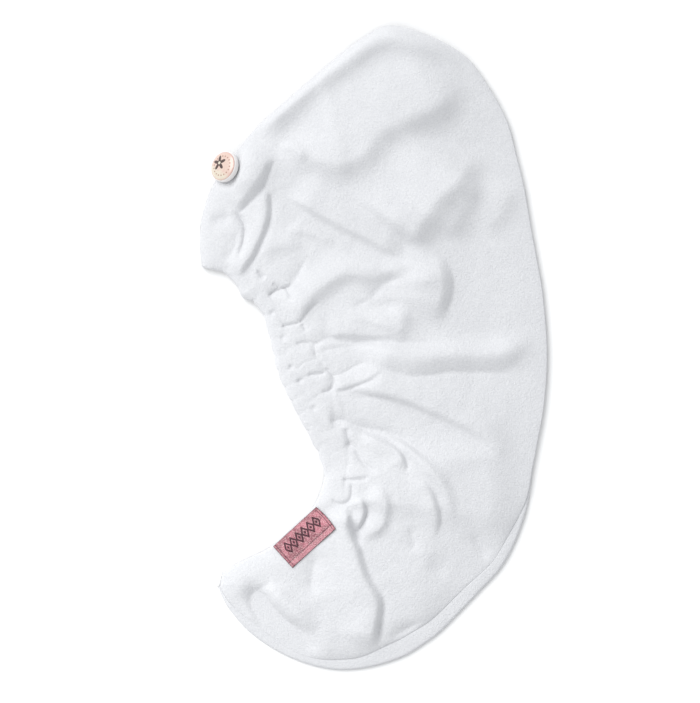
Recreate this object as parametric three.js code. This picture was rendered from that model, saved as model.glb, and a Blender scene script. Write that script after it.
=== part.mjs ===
// Hair towel lying flat, seen from above with its crown towards +Y. Two plush cloth panels are
// sewn together round the outside and down the inner side of the tail. Between them the towel is
// hollow, and open along a gathered concave edge on the left, where the head goes in. A domed
// button sits on the left corner, and a woven label is sewn to the inner edge of the tail.
// Millimetres, +Z up, underside on z = 0, origin below the middle of the outline.

import * as THREE from "three";

// Cloth and seams
const CLOTH = 2.4; // thickness of the plush cloth
const CLEARANCE = 0.3; // gap between two pieces that touch
const SEAM_LIP = 1.2; // width of the lower panel that shows outside the upper one
const SEAM_ROLL = 16; // how far in from a sewn edge the upper panel takes to round over
const ROLL_HEIGHT = 7.6; // how high it rounds over
const BODY_LOFT = 3; // further rise towards the middle of the towel
const LOFT_REACH = 60; // distance over which the body gains that rise

// Gathered casing along the head opening
const CASING_WIDTH = 44; // edge of the opening to the inner stitch line
const NEEDLE_LINE = 17; // edge of the opening to the outer stitch line
const STITCH_DEPTH = 2.4; // how deep the stitch lines pull in
const STITCH_WIDTH = 4;
const RUFFLE_PITCH = 26; // length of one ruffle along the opening
const RUFFLE_HEIGHT = 1.3;
const GATHER_PITCH = 19; // length of one pucker along the inner stitch line
const GATHER_HEIGHT = 1.1;
const GATHER_REACH = 14; // how far the puckers spread on either side of the stitch line
const OUTER_STITCH = 0.7; // depth of the outer stitch line against the inner one
const OPENING_INSET = 2; // the lower panel stops this far inside the upper one
const LOWER_CASING = 0.5; // extra thickness of the lower panel's casing
const HEM_FADE = 0.05; // share of the inner edge over which that thickness fades in and out

// Rims along the outer seam. The lower one is a rolled band, seen outside the upper panel.
const BAND_HEIGHT = 6;
const RIM_COLUMNS = [18, 12, 7, 3, 0]; // distances in from the upper panel's outer edge
const BAND_COLUMNS = [0, 0.25, 0.5, 0.75, 1]; // shares of the band's width

// Button
const BUTTON_RADIUS = 15.5;
const BUTTON_BASE = 4; // thickness of the white base
const BUTTON_DOME = 2.4; // rise of the coloured face above it
const BUTTON_TILT = 38; // degrees, face leaning to the upper left
const BUTTON_CENTRE = [-149.5, 180, 13.6];
const BUTTON_LEAN = [-0.9, 0.43]; // direction it leans towards
const THREAD_RADIUS = 1.6;
const THREAD_STEP = 0.1; // the thread is as long as fits, to this step
const ROUND_SIDES = 28;
const DOME_ANGLES = [18, 36, 54, 72]; // degrees up the face's domed profile

// Label
const LABEL_CORNER = [-101, -199.5]; // left corner, on the tail's inner edge
const LABEL_LENGTH = 58.5;
const LABEL_WIDTH = 29;
const LABEL_TURN = 42.5; // degrees of its long side from +X
const LABEL_THICKNESS = 0.8;

// Mesh density
const SHORT_ROW = 110; // rows shorter than this squeeze their casing columns together
const CORNER_END = 0.07; // share of the inner edge where the left corner meets the middle
const CORNER_ROWS = 5; // along the towel, over the left corner
const MIDDLE_ROWS = 41;
const TAIL_ROWS = 20;
const CASING_COLUMNS = [0, 6, 12, 17, 23, 31, 38, 44, 51]; // distances in from the opening
const BODY_COLUMNS = 14; // from the casing to the rim
const LABEL_CELLS = [11, 6];
const SEAM_SAMPLES = 180; // points that distances from the seam are measured to
const INNER_SAMPLES = 90; // and from the inner edge

// Outer seam from the left corner over the crown, down the right side and round to the tail
const SEAM = [
  [-174.5, 105], [-159, 167], [-116, 222], [-45, 284], [15, 322.4], [54, 313], [90, 293],
  [135, 228], [159, 110], [174.5, -7], [164, -106], [142, -183], [90, -251], [27, -306],
  [-45, -323.5], [-121, -289], [-157, -240],
];

// Inner edge: the opening from the left corner to the notch, then the inner side of the tail
const OPENING = [
  [-172.5, 80], [-136, 56], [-106, 20], [-93, -28], [-66, -79], [-51, -129],
];
const TAIL_INSIDE = [
  [-61, -160], [-102, -199], [-136, -217], [-152, -226],
];

// Width of the rolled band outside the upper panel, by share of the seam's length
const BAND = table(["share", "width"], [
  [0.0, 0], [0.12, 0.3], [0.3, 1.2], [0.65, 2], [0.71, 10], [0.77, 14], [0.83, 17],
  [0.87, 11], [0.91, 7], [0.95, 10], [1.0, 2],
]);

// Folds of the upper panel. A slope has its high side on the left of its path, a crease is a
// pinched valley, a tube a round finger of cloth and a swell a soft ridge. left and right are
// widths on either side of the path, and fadeIn and fadeOut the shares of it that taper off.
const FOLDS = table(["name", "kind", "height", "left", "right", "fadeIn", "fadeOut", "path"], [
  ["edge_roll", "slope", 3.5, 20, 9, 0.2, 0.4, [[-112, 207], [-45, 265], [9, 303], [80, 284]]],
  ["crown", "slope", 10, 46, 15, 0.25, 0.22,
    [[-96, 180], [-64, 169], [-39, 172], [4, 197], [47, 221], [92, 241], [110, 258]]],
  ["middle", "slope", 7.5, 40, 20, 0.18, 0.4, [[34, 88], [56, 111], [84, 151], [99, 215]]],
  ["middle_right", "slope", 3, 14, 10, 0.3, 0.4, [[76, 92], [90, 123], [113, 178]]],
  ["seam_side", "slope", 2.5, 14, 10, 0.35, 0.4, [[106, 98], [123, 124], [147, 172]]],
  ["knot", "slope", 8, 15, 8, 0.45, 0.35, [[66, 20], [75, 42], [79, 62], [74, 82], [60, 101]]],
  ["thin_ridge", "slope", 3, 9, 6, 0.2, 0.3, [[-96, 153], [-45, 126], [-3, 107], [32, 84]]],
  ["upper_gather", "slope", 9, 17, 10, 0.15, 0.45,
    [[-80, 14], [-65, 35], [-46, 51], [-29, 57], [10, 60], [56, 70]]],
  ["pillow", "slope", 6.5, 24, 10, 0.3, 0.4, [[-50, 2], [-2, 4], [18, 10], [33, 35], [24, 54]]],
  ["cross_tube", "slope", 9, 16, 11, 0.25, 0.15,
    [[-20, -14], [26, -26], [90, -23], [126, -21], [150, -11], [170, 8]]],
  ["pillow_crease", "crease", 4, 8, 8, 0.15, 0.5, [[-62, 0], [-29, 4], [36, 2], [90, 4]]],
  ["tube_crease", "crease", 4, 6, 6, 0.2, 0.4, [[-70, -26], [-29, -26], [6, -15]]],
  ["finger", "tube", 6.5, 8, 8, 0.12, 0.15, [[-49, -39], [-12, -28], [8, -21]]],
  ["lower_valley", "crease", 3, 14, 12, 0.2, 0.4,
    [[-40, -46], [32, -58], [90, -86], [116, -104]]],
  ["lower_right", "slope", 4, 26, 12, 0.4, 0.4, [[120, -190], [131, -158], [110, -104]]],
  ["arc_crease", "crease", 3.5, 7, 8, 0.15, 0.4,
    [[-54, -77], [-14, -80], [36, -97], [68, -132]]],
  ["arc_ridge", "swell", 4, 8, 9, 0.35, 0.4, [[0, -88], [46, -113], [70, -168]]],
  ["petal", "slope", 6, 10, 7, 0.35, 0.4, [[12, -131], [30, -110], [4, -88]]],
  ["petal_crease", "crease", 3.5, 6, 6, 0.15, 0.35, [[-38, -97], [-21, -101], [-2, -124]]],
  ["lobe", "slope", 8, 12, 8, 0.35, 0.35,
    [[-18, -192], [13, -173], [17, -161], [2, -137], [-20, -132]]],
  ["lobe_crease", "crease", 4.5, 6, 6, 0.3, 0.4, [[-29, -135], [-10, -163], [-15, -186]]],
  ["lower_arc", "slope", 4.5, 14, 8, 0.4, 0.45, [[58, -206], [61, -151], [30, -122]]],
  ["tail_edge", "slope", 10, 30, 10, 0.22, 0.15,
    [[2, -308], [5, -254], [-6, -228], [-21, -185], [-38, -148]]],
  ["tail_dip", "crease", 2.5, 12, 10, 0.4, 0.5, [[-56, -190], [-57, -251], [-45, -276]]],
  ["tail_border", "slope", 4, 14, 9, 0.35, 0.4, [[-58, -299], [-104, -258], [-128, -233]]],
  ["corner_ridge", "slope", 10, 22, 7, 0.3, 0.3, [[-144, 126], [-122, 158], [-92, 196]]],
  ["corner_finger", "tube", 8, 11, 10, 0.15, 0.25, [[-138, 76], [-120, 115], [-111, 166]]],
  ["finger_crease", "crease", 4, 6, 7, 0.3, 0.3, [[-134, 64], [-112, 103], [-106, 164]]],
  ["button_dent", "swell", -3.2, 12, 12, 0.5, 0.5, [[-166, 152], [-147, 180], [-128, 208]]],
]);
const FOLD_STEP = 6; // spacing of the points that a fold's path is sampled at
const FOLD_BLEND = 1.2 * FOLD_STEP; // how softly neighbouring samples blend
const FOLD_TIP = 0.35; // width of a fold where it fades out, against its full width
const STEEPEST = Math.SQRT1_2; // where a bell's side is steepest, in widths from its crest

// One object per row of a table, keyed by the names of its columns.
function table(columns, rows) {
  return rows.map((row) => Object.fromEntries(columns.map((name, i) => [name, row[i]])));
}

function smooth(t) {
  const k = THREE.MathUtils.clamp(t, 0, 1);
  return k * k * (3 - 2 * k);
}

function bell(x) {
  return Math.exp(-x * x);
}

// A smooth curve through points of the plan.
function planCurve(points) {
  const path = points.map(([x, y]) => new THREE.Vector3(x, y, 0));
  return new THREE.CatmullRomCurve3(path, false, "catmullrom", 0.5);
}

// Evenly spaced points of a curve, each with its unit tangent.
function sampled(curve, count) {
  return Array.from({ length: count + 1 }, (_, i) => {
    const point = curve.getPointAt(i / count);
    const tangent = curve.getTangentAt(i / count);
    return { x: point.x, y: point.y, tx: tangent.x, ty: tangent.y };
  });
}

// Distance from (x, y) to a sampled line, and the share of the line where it is nearest.
function nearest(line, x, y) {
  const found = { distance: Infinity, share: 0 };
  for (let i = 0; i + 1 < line.length; i++) {
    const [a, b] = [line[i], line[i + 1]];
    const [dx, dy] = [b.x - a.x, b.y - a.y];
    const along = ((x - a.x) * dx + (y - a.y) * dy) / (dx * dx + dy * dy);
    const k = THREE.MathUtils.clamp(along, 0, 1);
    const distance = Math.hypot(x - a.x - k * dx, y - a.y - k * dy);
    if (distance < found.distance) {
      found.distance = distance;
      found.share = (i + k) / (line.length - 1);
    }
  }
  return found;
}

// Signed offset (positive on the left) and share along a fold's path, blended between the
// path's samples so that it changes smoothly everywhere.
function alongFold(line, length, x, y) {
  const squares = line.map((p) => (x - p.x) ** 2 + (y - p.y) ** 2);
  const least = Math.min(...squares);
  const softness = 2 * FOLD_BLEND * Math.sqrt(least + FOLD_BLEND ** 2);
  let total = 0;
  let offset = 0;
  let share = 0;
  line.forEach((p, i) => {
    const weight = Math.exp((least - squares[i]) / softness);
    const [dx, dy] = [x - p.x, y - p.y];
    total += weight;
    offset += weight * (dy * p.tx - dx * p.ty);
    share += weight * (i / (line.length - 1) + (dx * p.tx + dy * p.ty) / length);
  });
  return { offset: offset / total, share: share / total };
}

// Cross-sections of the four kinds of fold, at an offset from the path.
const SECTIONS = {
  slope(offset, fold, narrow) {
    const crest = offset - STEEPEST * fold.right;
    return bell(crest / (crest > 0 ? fold.left * narrow : fold.right));
  },
  crease(offset, fold) {
    const width = offset > 0 ? fold.left : fold.right;
    return -Math.exp(0.2 - Math.hypot(offset / width, 0.2));
  },
  tube(offset, fold, narrow) {
    const width = (offset > 0 ? fold.left : fold.right) * narrow;
    return Math.sqrt(Math.max(0, 1 - (offset / width) ** 2));
  },
  swell(offset, fold, narrow) {
    return bell(offset / ((offset > 0 ? fold.left : fold.right) * narrow));
  },
};

// The height that one fold adds at a point of the plan.
function foldHeight(fold) {
  const curve = planCurve(fold.path);
  const length = curve.getLength();
  const line = sampled(curve, Math.max(8, Math.round(length / FOLD_STEP)));
  return (x, y) => {
    const { offset, share } = alongFold(line, length, x, y);
    const fade = smooth(share / fold.fadeIn) * smooth((1 - share) / fold.fadeOut);
    const narrow = THREE.MathUtils.lerp(FOLD_TIP, 1, Math.sqrt(fade));
    return fade > 0 ? fold.height * fade * SECTIONS[fold.kind](offset, fold, narrow) : 0;
  };
}

const seamCurve = planCurve(SEAM);
const innerCurve = planCurve([...OPENING, ...TAIL_INSIDE]);
const innerLine = sampled(innerCurve, INNER_SAMPLES);
const openingEnd = nearest(innerLine, ...OPENING.at(-1)).share;
const openingLine = innerLine.slice(0, Math.round(openingEnd * INNER_SAMPLES) + 1);
const openingLength = innerCurve.getLength() * openingEnd;
const outerLine = Array.from({ length: SEAM_SAMPLES + 1 }, (_, i) => {
  const [x, y] = upperEdge(i / SEAM_SAMPLES);
  return { x, y };
});
const sewnLines = [
  outerLine,
  innerLine.slice(openingLine.length - 1),
  [innerLine[0], outerLine[0]],
  [innerLine.at(-1), outerLine.at(-1)],
];
const foldHeights = FOLDS.map(foldHeight);
const rowShares = [
  0,
  ...steps(0, CORNER_END, CORNER_ROWS),
  ...steps(CORNER_END, openingEnd, MIDDLE_ROWS),
  ...steps(openingEnd, 1, TAIL_ROWS),
];

// How far a point of the plan is from the nearest sewn edge.
function fromSewnEdge(x, y) {
  return Math.min(...sewnLines.map((line) => nearest(line, x, y).distance));
}

// Stitch lines, ruffles and puckers of the gathered casing.
function casingRelief(x, y) {
  const { distance, share } = nearest(openingLine, x, y);
  const along = share * openingLength;
  const ends = smooth(along / RUFFLE_PITCH) * smooth((openingLength - along) / RUFFLE_PITCH);
  const outerStitch = OUTER_STITCH * bell((distance - NEEDLE_LINE) / STITCH_WIDTH);
  const innerStitch = bell((distance - CASING_WIDTH) / STITCH_WIDTH);
  const ruffle = Math.sin((2 * Math.PI * along) / RUFFLE_PITCH) * bell(distance / CASING_WIDTH);
  const gather =
    Math.sin((2 * Math.PI * along) / GATHER_PITCH) * bell((distance - CASING_WIDTH) / GATHER_REACH);
  return (
    ends *
    (RUFFLE_HEIGHT * ruffle + GATHER_HEIGHT * gather - STITCH_DEPTH * (outerStitch + innerStitch))
  );
}

// Top of the upper panel at a point of the plan.
function upperTop(x, y) {
  const inward = fromSewnEdge(x, y);
  const roll = Math.sqrt(1 - (1 - Math.min(inward / SEAM_ROLL, 1)) ** 2);
  const loft = 1 - Math.exp(-inward / LOFT_REACH);
  const seated = 2 * CLOTH + CLEARANCE;
  const folds = foldHeights.reduce((sum, height) => sum + height(x, y), 0);
  const top = seated + ROLL_HEIGHT * roll + BODY_LOFT * loft + folds + casingRelief(x, y);
  return Math.max(top, seated);
}

// Width of the lower panel outside the upper one at a share of the seam.
function bandWidth(share) {
  const next = Math.max(1, BAND.findIndex((row) => row.share >= share));
  const [a, b] = [BAND[next - 1], BAND[next]];
  const k = smooth((share - a.share) / (b.share - a.share));
  return SEAM_LIP + THREE.MathUtils.lerp(a.width, b.width, k);
}

// The seam moved inwards by a distance, at a share of its length.
function insideSeam(share, inset) {
  const point = seamCurve.getPointAt(share);
  const tangent = seamCurve.getTangentAt(share);
  return [point.x + tangent.y * inset, point.y - tangent.x * inset];
}

// Outer edge of the upper panel, just inside the band, at a share of the seam.
function upperEdge(share) {
  return insideSeam(share, bandWidth(share) + CLEARANCE);
}

function between(a, b, k) {
  return a.map((value, i) => THREE.MathUtils.lerp(value, b[i], k));
}

// A closed sheet from two grids of corners, top and bottom, with rows of equal length.
function sheet(top, bottom) {
  const [rows, columns] = [top.length, top[0].length];
  const position = [...top.flat(), ...bottom.flat()].flat();
  const at = (i, j) => i * columns + j;
  const below = rows * columns;
  const index = [];
  const quad = (a, b, c, d) => index.push(a, b, c, a, c, d);
  for (let i = 0; i + 1 < rows; i++)
    for (let j = 0; j + 1 < columns; j++) {
      const corners = [at(i, j), at(i + 1, j), at(i + 1, j + 1), at(i, j + 1)];
      quad(...corners);
      quad(...corners.map((corner) => corner + below).reverse());
    }
  const wall = (a, b) => quad(b, a, a + below, b + below);
  for (let i = 0; i + 1 < rows; i++) {
    wall(at(i, 0), at(i + 1, 0));
    wall(at(i + 1, columns - 1), at(i, columns - 1));
  }
  for (let j = 0; j + 1 < columns; j++) {
    wall(at(rows - 1, j), at(rows - 1, j + 1));
    wall(at(0, j + 1), at(0, j));
  }
  const geometry = new THREE.BufferGeometry();
  geometry.setAttribute("position", new THREE.Float32BufferAttribute(position, 3));
  geometry.setIndex(index);
  geometry.computeVertexNormals();
  return geometry;
}

// Evenly spaced numbers after the first one, up to the last.
function steps(first, last, count) {
  return Array.from({ length: count }, (_, i) => THREE.MathUtils.lerp(first, last, (i + 1) / count));
}

// Points of the plan in rows, at shares of the inner edge. A row runs from the inner edge to the
// upper panel's outer edge, and distances gives how far in its points are.
function planGrid(shares, distances) {
  return shares.map((share) => {
    const edge = innerCurve.getPointAt(share);
    const outer = upperEdge(share);
    const length = Math.hypot(outer[0] - edge.x, outer[1] - edge.y);
    const squeeze = Math.min(1, length / SHORT_ROW);
    return distances(length, squeeze).map((d) => between([edge.x, edge.y], outer, d / length));
  });
}

// One piece of the upper panel over a grid of the plan.
function upperPiece(plan) {
  const top = plan.map((row) => row.map(([x, y]) => [x, y, upperTop(x, y)]));
  const bottom = top.map((row) => row.map(([x, y, z]) => [x, y, z - CLOTH]));
  return sheet(top, bottom);
}

// A part of the upper panel's body, inside its rim, between two rows of the towel. It stops short
// of the next part.
function upperBody(from, to) {
  const shares = rowShares.slice(from, to + 1);
  if (to < rowShares.length - 1) shares[to - from] -= CLEARANCE / innerCurve.getLength();
  const distances = (length, squeeze) => {
    const casing = CASING_COLUMNS.map((d) => d * squeeze);
    const end = length - RIM_COLUMNS[0] * squeeze - CLEARANCE;
    return [...casing, ...steps(casing.at(-1), end, BODY_COLUMNS)];
  };
  return upperPiece(planGrid(shares, distances));
}

function upperRim() {
  const distances = (length, squeeze) => RIM_COLUMNS.map((d) => length - d * squeeze);
  return upperPiece(planGrid(rowShares, distances));
}

// Flat body of the lower panel, a little thicker along its casing.
function lowerBody() {
  const distances = (length, squeeze) => {
    const casing = [OPENING_INSET, CASING_WIDTH, CASING_WIDTH + 8].map((d) => d * squeeze);
    return [...casing, ...steps(casing.at(-1), length, 2)];
  };
  const top = planGrid(rowShares, distances).map((row, i) => {
    const share = rowShares[i];
    const hem = LOWER_CASING * smooth(share / HEM_FADE) * smooth((openingEnd - share) / HEM_FADE);
    return row.map(([x, y], j) => [x, y, CLOTH + (j < 2 ? hem : 0)]);
  });
  return sheet(top, flattened(top));
}

// Rolled band of the lower panel, along the outer seam.
function lowerRim() {
  const top = rowShares.map((share) => {
    const width = bandWidth(share);
    const height = BAND_HEIGHT * smooth((width - SEAM_LIP) / BAND_HEIGHT);
    return BAND_COLUMNS.map((k) => [
      ...insideSeam(share, (1 - k) * width),
      CLOTH + height * Math.sqrt(1 - (2 * k - 1) ** 2),
    ]);
  });
  return sheet(top, flattened(top));
}

function flattened(grid) {
  return grid.map((row) => row.map(([x, y]) => [x, y, 0]));
}

// Height of the top surface of some meshes below a point of the plan.
function surfaceBelow(meshes) {
  const ray = new THREE.Raycaster();
  const above = Math.max(...meshes.map((made) => new THREE.Box3().setFromObject(made).max.z)) + 1;
  return (x, y) => {
    ray.set(new THREE.Vector3(x, y, above), new THREE.Vector3(0, 0, -1));
    const hit = ray.intersectObjects(meshes)[0];
    return hit ? hit.point.z : 2 * CLOTH + CLEARANCE;
  };
}

// Woven label, lying on the tail and following it over the sewn edge.
function label(surface) {
  const turn = THREE.MathUtils.degToRad(LABEL_TURN);
  const [along, across] = [
    [Math.cos(turn), Math.sin(turn)],
    [Math.sin(turn), -Math.cos(turn)],
  ];
  const [cellsAlong, cellsAcross] = LABEL_CELLS;
  const place = (a, b) => [
    LABEL_CORNER[0] + a * along[0] + b * across[0],
    LABEL_CORNER[1] + a * along[1] + b * across[1],
  ];
  const reach = LABEL_WIDTH / cellsAcross / 2;
  const highest = (a, b) => {
    const around = [-reach, 0, reach].flatMap((da) => [-reach, 0, reach].map((db) => [da, db]));
    return Math.max(...around.map(([da, db]) => surface(...place(a + da, b + db))));
  };
  const bottom = Array.from({ length: cellsAcross + 1 }, (_, i) =>
    Array.from({ length: cellsAlong + 1 }, (_, j) => {
      const a = (LABEL_LENGTH * j) / cellsAlong;
      const b = (LABEL_WIDTH * i) / cellsAcross;
      return [...place(a, b), highest(a, b) + CLEARANCE];
    }),
  );
  const top = bottom.map((row) => row.map(([x, y, z]) => [x, y, z + LABEL_THICKNESS]));
  return sheet(top, bottom);
}

// A turned piece from its half profile, as pairs of radius and height, up the axis +Z.
function turned(profile) {
  const points = profile.map(([radius, height]) => new THREE.Vector2(radius, height));
  return new THREE.LatheGeometry(points, ROUND_SIDES).rotateX(Math.PI / 2);
}

function buttonBase() {
  const r = BUTTON_RADIUS;
  const h = BUTTON_BASE;
  return turned([[0, 0], [0.8 * r, 0], [0.96 * r, 0.3 * h], [r, 0.7 * h], [0.97 * r, h], [0, h]]);
}

function buttonFace() {
  const r = 0.95 * BUTTON_RADIUS;
  const low = BUTTON_BASE + CLEARANCE;
  const dome = DOME_ANGLES.map((degrees) => {
    const angle = THREE.MathUtils.degToRad(degrees);
    return [r * Math.cos(angle), low + BUTTON_DOME * Math.sin(angle)];
  });
  return turned([[0, low], [r, low], ...dome, [0, low + BUTTON_DOME]]);
}

function mesh(name, geometry, colour, roughness) {
  const material = new THREE.MeshStandardMaterial({ color: colour, roughness, metalness: 0 });
  const made = new THREE.Mesh(geometry, material);
  made.name = name;
  return made;
}

const towel = new THREE.Group();
towel.add(mesh("lower_panel", lowerBody(), 0xeef0f4, 0.95));
towel.add(mesh("lower_rim", lowerRim(), 0xeef0f4, 0.95));

// The upper panel is made in parts that meet CLEARANCE apart.
const tailStart = CORNER_ROWS + MIDDLE_ROWS;
const upperPieces = [
  mesh("upper_corner", upperBody(0, CORNER_ROWS), 0xf2f4f7, 0.95),
  mesh("upper_panel", upperBody(CORNER_ROWS, tailStart), 0xf2f4f7, 0.95),
  mesh("upper_tail", upperBody(tailStart, tailStart + TAIL_ROWS), 0xf2f4f7, 0.95),
  mesh("upper_rim", upperRim(), 0xf2f4f7, 0.95),
];
towel.add(...upperPieces);

const onPanel = surfaceBelow(upperPieces);
towel.add(mesh("label", label(onPanel), 0xb5788a, 0.5));

// The button's group leans it over; inside it, the pieces stack up along +Z.
const button = new THREE.Group();
const tilt = THREE.MathUtils.degToRad(BUTTON_TILT);
const lean = new THREE.Vector2(...BUTTON_LEAN).normalize().multiplyScalar(Math.sin(tilt));
const axis = new THREE.Vector3(lean.x, lean.y, Math.cos(tilt));
button.quaternion.setFromUnitVectors(new THREE.Vector3(0, 0, 1), axis);
button.position.set(...BUTTON_CENTRE).addScaledVector(axis, -BUTTON_BASE / 2);
button.add(mesh("button_base", buttonBase(), 0xf4f1ef, 0.35));
button.add(mesh("button_face", buttonFace(), 0xf0cfc4, 0.25));
towel.add(button);

// Sewing thread from the back of the button to the cloth under it.
function threadShank() {
  const start = button.position.clone();
  const end = start.clone();
  let length = 0;
  while (end.z - THREAD_RADIUS * Math.sin(tilt) > onPanel(end.x, end.y) + CLEARANCE) {
    length += THREAD_STEP;
    end.copy(start).addScaledVector(axis, -length);
  }
  return turned([
    [0, -length],
    [THREAD_RADIUS, -length],
    [THREAD_RADIUS, -CLEARANCE],
    [0, -CLEARANCE],
  ]);
}
button.add(mesh("button_thread", threadShank(), 0xf2efe9, 0.8));

export default towel;
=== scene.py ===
# Hair towel lying flat: two plush panels sewn into a hood and tail, with laid folds, a gathered
# head opening, a domed button and a woven label. Plans and heights are in millimetres, in the
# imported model's frame: +Z up, +Y towards the crown, origin below the middle of the outline.
import math

import bpy
import numpy as np
from bpy.props import FloatProperty, FloatVectorProperty, PointerProperty
from mathutils import Matrix, Vector


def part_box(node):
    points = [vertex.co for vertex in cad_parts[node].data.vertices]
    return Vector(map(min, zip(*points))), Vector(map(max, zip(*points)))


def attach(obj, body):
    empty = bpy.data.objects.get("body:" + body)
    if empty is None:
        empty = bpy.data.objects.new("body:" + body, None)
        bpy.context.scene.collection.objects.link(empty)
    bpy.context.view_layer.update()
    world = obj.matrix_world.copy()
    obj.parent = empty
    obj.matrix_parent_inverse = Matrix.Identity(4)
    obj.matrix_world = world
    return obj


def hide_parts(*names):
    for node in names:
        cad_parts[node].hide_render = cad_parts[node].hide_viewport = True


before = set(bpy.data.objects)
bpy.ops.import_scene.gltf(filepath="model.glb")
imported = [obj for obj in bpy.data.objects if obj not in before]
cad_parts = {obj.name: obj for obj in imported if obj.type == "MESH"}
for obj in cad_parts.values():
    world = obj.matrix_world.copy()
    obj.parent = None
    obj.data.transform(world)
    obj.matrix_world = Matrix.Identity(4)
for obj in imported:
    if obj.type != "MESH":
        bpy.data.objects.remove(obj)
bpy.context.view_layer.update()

bl_info = {
    "name": "Hair towel",
    "version": (1, 0, 0),
    "blender": (4, 5, 0),
    "location": "3D View > Sidebar > Hair towel",
    "description": "Builds a plush hair towel with its folds, button and label",
    "category": "Add Mesh",
}

MM = 0.001
CLEARANCE = 0.05  # between two surfaces that touch

# Outer seam from the left corner over the crown, down the right side and round to the tail
SEAM = [
    (-174.5, 98), (-173.5, 124), (-166, 152), (-155.5, 172), (-137, 197), (-116, 222),
    (-89, 246), (-45, 284), (-13, 309), (16, 322.5), (54, 313), (90, 293), (112, 266),
    (133, 228), (143, 192), (151, 159), (157.5, 121), (164, 86), (170, 50), (174, -7),
    (171, -57), (165, -93), (159, -128), (154, -160), (142, -195), (127, -222), (106, -245),
    (87, -265), (66, -286), (47, -300), (26, -312), (-9, -322), (-45, -323), (-85, -311),
    (-121, -289), (-145, -263), (-157, -240),
]

# Inner edge: the scalloped opening from the left corner to the notch, then the tail's inner side
OPENING = [
    (-172.5, 80), (-157, 76.5), (-145, 70), (-137, 60), (-132, 50), (-120, 43.5), (-111, 32),
    (-107, 18), (-102, -2), (-97, -24), (-88, -45), (-79, -63), (-71, -78), (-62, -95),
    (-55, -110), (-50, -129),
]
TAIL_INSIDE = [(-61, -160), (-81, -180), (-102, -199), (-136, -216), (-152, -226)]

# Width of the rolled band outside the upper panel, by share of the seam's length
LIP = 0.25
BAND = [
    (0.0, 0), (0.3, 0), (0.6, 0.2), (0.65, 1), (0.71, 10), (0.77, 14), (0.83, 17),
    (0.87, 11), (0.91, 7), (0.95, 10), (1.0, 2),
]

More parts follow.
